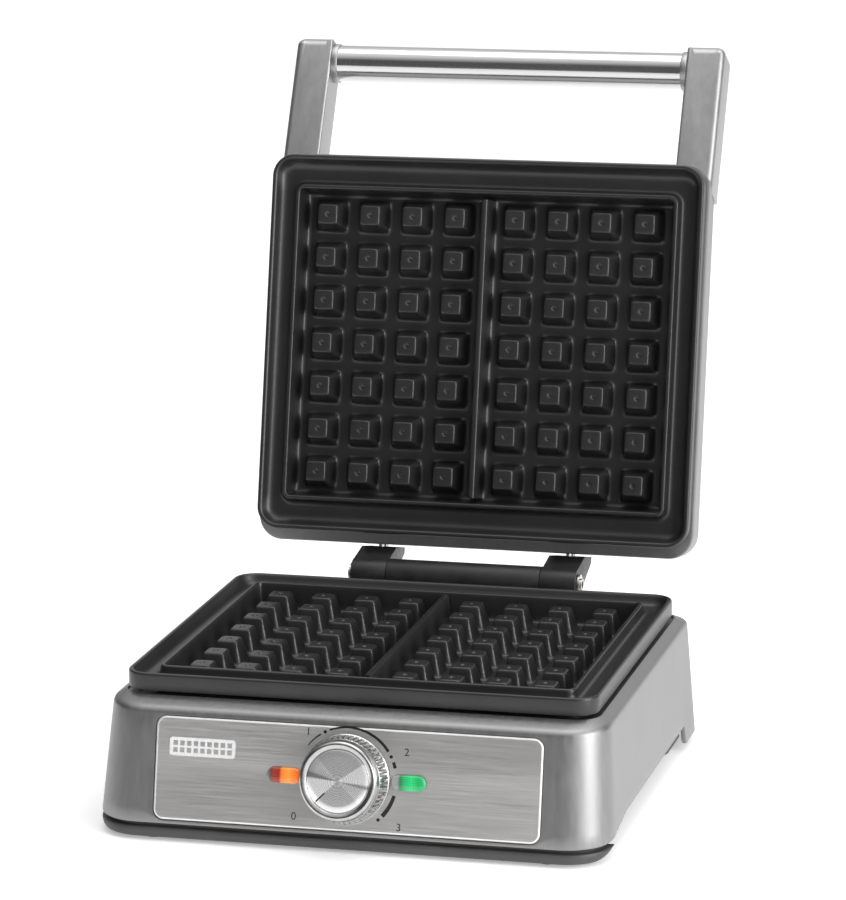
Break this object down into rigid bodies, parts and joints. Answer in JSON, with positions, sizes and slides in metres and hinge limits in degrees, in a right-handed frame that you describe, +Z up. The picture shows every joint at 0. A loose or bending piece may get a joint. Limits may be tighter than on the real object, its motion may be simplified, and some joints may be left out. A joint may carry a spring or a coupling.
{
  "type": "waffle maker",
  "caption": "Hinged-lid waffle maker: two rectangular waffle fields in non-stick plates, metallic casing, tube handle, tilted steel panel with thermostat knob and two lamps.",
  "frame": {"origin": "on the floor under the centre of the object's box, with the lid open on its stop", "axes": "+Z up, +Y from the control panel to the hinge, +X to the right when facing the control panel"},
  "size_m": [0.241, 0.3666, 0.3251],
  "materials": {
    "gunmetal_paint": "moulded, with satin metallic paint",
    "nonstick": "cast aluminium with a satin non-stick coating",
    "dark_plastic": "fine texture",
    "steel_sheet": "brushed",
    "zinc_steel": "zinc plated",
    "brushed_panel": "long horizontal grain",
    "print_black": "screen print",
    "print_white": "screen print",
    "amber_lens": "clear amber",
    "green_lens": "clear green",
    "lamp_glass": "neon lamp",
    "black_plastic": "moulded",
    "ceramic": "matte",
    "brass": "plain",
    "rubber": "matte",
    "element_steel": "oxidised steel sheath",
    "cast_hinge": "black powder coat",
    "wire_silicone": "silicone insulation",
    "arm_silver": "moulded, with satin metallic paint",
    "tube_steel": "polished along its length",
    "knob_metal": "turned and plated",
    "spun_metal": "spun face"
  },
  "bodies": {
    "base": {"base_housing": "gunmetal_paint", "bottom_cover": "dark_plastic", "bottom_cover_screws": "zinc_steel", "front_foot_rail": "dark_plastic", "rear_feet": "dark_plastic", "rubber_pads": "rubber", "control_panel": "brushed_panel", "panel_nuts": "zinc_steel", "dial_markings": "print_black", "panel_emblem": "print_white", "power_lamp_lens": "amber_lens", "ready_lamp_lens": "green_lens", "neon_lamps": "lamp_glass", "lamp_holders": "black_plastic", "thermostat_body": "ceramic", "thermostat_bracket": "steel_sheet", "thermostat_nut": "brass", "lower_plate": "nonstick", "lower_plate_screws": "zinc_steel", "lower_heating_element": "element_steel", "lower_element_clamps": "steel_sheet", "lower_heat_shield": "steel_sheet", "lower_shield_screws": "zinc_steel", "hinge_bracket": "cast_hinge", "hinge_bracket_screws": "zinc_steel", "hinge_pin": "zinc_steel", "hinge_pin_clips": "zinc_steel", "terminal_block": "ceramic", "thermal_fuse": "ceramic", "base_wiring": "wire_silicone", "cord_bush": "rubber"},
    "lid": {"lid_housing": "gunmetal_paint", "upper_plate": "nonstick", "upper_plate_screws": "zinc_steel", "upper_heating_element": "element_steel", "upper_element_clamps": "steel_sheet", "upper_heat_shield": "steel_sheet", "upper_shield_screws": "zinc_steel", "lid_knuckles": "cast_hinge", "knuckle_screws": "zinc_steel", "left_handle_arm": "arm_silver", "right_handle_arm": "arm_silver", "handle_arm_screws": "zinc_steel", "handle_tube": "tube_steel", "handle_collars": "arm_silver", "handle_tie_rod": "zinc_steel", "lid_wiring": "wire_silicone"},
    "knob": {"knob_body": "knob_metal", "knob_cap": "spun_metal", "knob_pointer": "print_black", "knob_spring_clip": "steel_sheet", "thermostat_shaft": "zinc_steel"}
  },
  "joints": [
    {"name": "lid_hinge", "type": "hinge", "parent": "base", "child": "lid", "pos_m": [0, 0.06369, 0.0692], "axis": [-1, 0, 0], "range_deg": [-103.4, 0]},
    {"name": "knob_turn", "type": "hinge", "parent": "base", "child": "knob", "pos_m": [0, -0.16323, 0.03339], "axis": [0, 0.9744, -0.225], "range_deg": [0, 272]}
  ]
}
